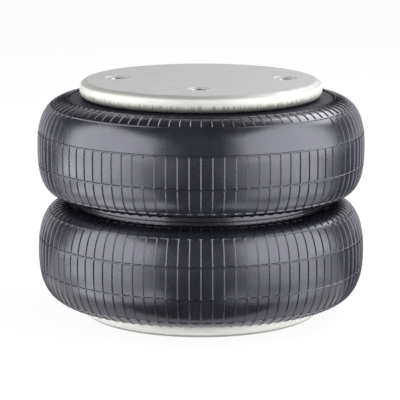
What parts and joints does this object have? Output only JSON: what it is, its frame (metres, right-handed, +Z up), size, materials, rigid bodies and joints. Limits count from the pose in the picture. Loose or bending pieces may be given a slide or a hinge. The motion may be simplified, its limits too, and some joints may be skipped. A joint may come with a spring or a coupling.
{
  "type": "air bellows actuator",
  "caption": "Double convolution rubber air bellows with a girdle ring, crimped steel end plates, blind mounting nuts and a threaded air port.",
  "frame": {"origin": "middle of the bottom plate's underside, where it stands", "axes": "+Z up along the stroke, -Y towards the air port, X along the line of the blind nuts"},
  "size_m": [0.3094, 0.3094, 0.2232],
  "materials": {
    "plate_steel": "satin zinc-plated sheet steel",
    "fitting_steel": "zinc-plated turned steel",
    "wire_steel": "drawn wire",
    "bellows_rubber": "moulded, slightly shiny",
    "girdle_rubber": "moulded, shiny"
  },
  "bodies": {
    "base": {"bottom_plate": "plate_steel", "bottom_bead_wire": "wire_steel", "bottom_nut_left": "fitting_steel", "bottom_nut_right": "fitting_steel"},
    "girdle": {"bellows": "bellows_rubber", "girdle_cover": "girdle_rubber", "girdle_wire": "wire_steel"},
    "top": {"top_plate": "plate_steel", "top_bead_wire": "wire_steel", "top_nut_left": "fitting_steel", "top_nut_right": "fitting_steel", "air_port": "fitting_steel"}
  },
  "joints": [
    {"name": "lower_stroke", "type": "slide", "parent": "base", "child": "girdle", "axis": [0, 0, 1], "range_m": [-0.0716, 0.0334], "stiffness_N_per_m": 4000, "springref_m": 0.0091, "deforming": ["bellows"]},
    {"name": "upper_stroke", "type": "slide", "parent": "girdle", "child": "top", "axis": [0, 0, 1], "range_m": [-0.0716, 0.0334], "stiffness_N_per_m": 4000, "springref_m": 0.0034, "deforming": ["bellows"]}
  ],
  "couplings": [
    {"joint": "upper_stroke", "follows": "lower_stroke", "ratio": 1}
  ]
}
